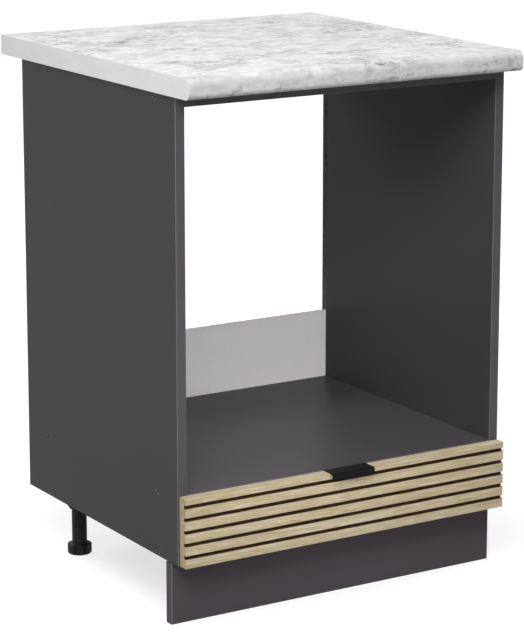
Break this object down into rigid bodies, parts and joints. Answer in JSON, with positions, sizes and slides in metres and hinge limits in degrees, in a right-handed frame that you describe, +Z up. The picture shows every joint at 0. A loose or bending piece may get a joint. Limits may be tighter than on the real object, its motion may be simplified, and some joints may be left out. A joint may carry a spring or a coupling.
{
  "type": "oven housing unit",
  "caption": "Kitchen base unit with an open bay for a built-in oven, a slatted drawer below it, a worktop, a plinth and levelling feet.",
  "frame": {"origin": "on the floor under the middle of the worktop", "axes": "+Z up, the front faces -Y, +X to the right of someone who faces the unit from the front"},
  "size_m": [0.606, 0.615, 0.852],
  "materials": {
    "marble_laminate": "matte",
    "grey_laminate": "matte",
    "grey_board": "matte",
    "grey_edge": "matte",
    "pale_fibreboard": "matte",
    "pale_oak": "matte",
    "drawer_board": "matte",
    "black_metal": "satin",
    "beech": "matte",
    "clear_rubber": "satin",
    "zinc": "satin",
    "runner_steel": "satin",
    "roller_plastic": "satin",
    "black_plastic": "matte"
  },
  "bodies": {
    "carcass": {"back_panel": "pale_fibreboard", "back_panel_screws": "zinc", "back_rail": "grey_board", "bottom_edge_band": "grey_edge", "bottom_panel": "grey_board", "cabinet_roller_rivets": "zinc", "cabinet_runner_left": "runner_steel", "cabinet_runner_right": "runner_steel", "cabinet_runner_screws": "zinc", "confirmat_screws": "zinc", "dowels": "beech", "front_rail": "grey_board", "front_rail_edge_band": "grey_edge", "leg_screws": "zinc", "leg_socket_back_left": "black_plastic", "leg_socket_back_right": "black_plastic", "leg_socket_front_left": "black_plastic", "leg_socket_front_right": "black_plastic", "leg_tube_back_left": "black_plastic", "leg_tube_back_right": "black_plastic", "leg_tube_front_left": "black_plastic", "leg_tube_front_right": "black_plastic", "oven_shelf": "grey_board", "oven_shelf_edge_band": "grey_edge", "plinth": "grey_board", "plinth_clip_left": "black_plastic", "plinth_clip_right": "black_plastic", "plinth_clip_screws": "zinc", "side_left": "grey_board", "side_left_edge_band": "grey_edge", "side_right": "grey_board", "side_right_edge_band": "grey_edge", "worktop": "marble_laminate", "worktop_end_strip_left": "grey_laminate", "worktop_end_strip_right": "grey_laminate", "worktop_screws": "zinc"},
    "drawer": {"drawer_front": "pale_oak", "handle": "black_metal", "handle_screws": "zinc", "drawer_side_left": "drawer_board", "drawer_side_right": "drawer_board", "drawer_box_front": "drawer_board", "drawer_back": "drawer_board", "drawer_bottom": "pale_fibreboard", "drawer_box_screws": "zinc", "drawer_front_screws": "zinc", "drawer_runner_left": "runner_steel", "drawer_runner_right": "runner_steel", "drawer_runner_screws": "zinc", "drawer_roller_rivets": "zinc", "bumper_pads": "clear_rubber"},
    "cabinet_roller_left": {"cabinet_roller_left": "roller_plastic"},
    "cabinet_roller_right": {"cabinet_roller_right": "roller_plastic"},
    "drawer_roller_left": {"drawer_roller_left": "roller_plastic"},
    "drawer_roller_right": {"drawer_roller_right": "roller_plastic"},
    "foot_front_left": {"foot_front_left": "black_plastic"},
    "foot_front_right": {"foot_front_right": "black_plastic"},
    "foot_back_left": {"foot_back_left": "black_plastic"},
    "foot_back_right": {"foot_back_right": "black_plastic"}
  },
  "joints": [
    {"name": "drawer_slide", "type": "slide", "parent": "carcass", "child": "drawer", "axis": [0, -1, 0], "range_m": [0, 0.335]},
    {"name": "cabinet_roller_left_spin", "type": "hinge", "parent": "carcass", "child": "cabinet_roller_left", "pos_m": [-0.2787, -0.2465, 0.1315], "axis": [1, 0, 0], "range_deg": [0, 2160]},
    {"name": "cabinet_roller_right_spin", "type": "hinge", "parent": "carcass", "child": "cabinet_roller_right", "pos_m": [0.2787, -0.2465, 0.1315], "axis": [1, 0, 0], "range_deg": [0, 2160]},
    {"name": "drawer_roller_left_spin", "type": "hinge", "parent": "drawer", "child": "drawer_roller_left", "pos_m": [-0.2769, 0.1715, 0.1305], "axis": [1, 0, 0], "range_deg": [0, 2160]},
    {"name": "drawer_roller_right_spin", "type": "hinge", "parent": "drawer", "child": "drawer_roller_right", "pos_m": [0.2769, 0.1715, 0.1305], "axis": [1, 0, 0], "range_deg": [0, 2160]},
    {"name": "foot_front_left_screw", "type": "slide", "parent": "carcass", "child": "foot_front_left", "axis": [0, 0, -1], "range_m": [0, 0.02]},
    {"name": "foot_front_right_screw", "type": "slide", "parent": "carcass", "child": "foot_front_right", "axis": [0, 0, -1], "range_m": [0, 0.02]},
    {"name": "foot_back_left_screw", "type": "slide", "parent": "carcass", "child": "foot_back_left", "axis": [0, 0, -1], "range_m": [0, 0.02]},
    {"name": "foot_back_right_screw", "type": "slide", "parent": "carcass", "child": "foot_back_right", "axis": [0, 0, -1], "range_m": [0, 0.02]}
  ],
  "couplings": [
    {"joint": "cabinet_roller_left_spin", "follows": "drawer_slide", "rad_per_m": 105.26},
    {"joint": "cabinet_roller_right_spin", "follows": "drawer_slide", "rad_per_m": 105.26},
    {"joint": "drawer_roller_left_spin", "follows": "drawer_slide", "rad_per_m": 111.11},
    {"joint": "drawer_roller_right_spin", "follows": "drawer_slide", "rad_per_m": 111.11}
  ]
}
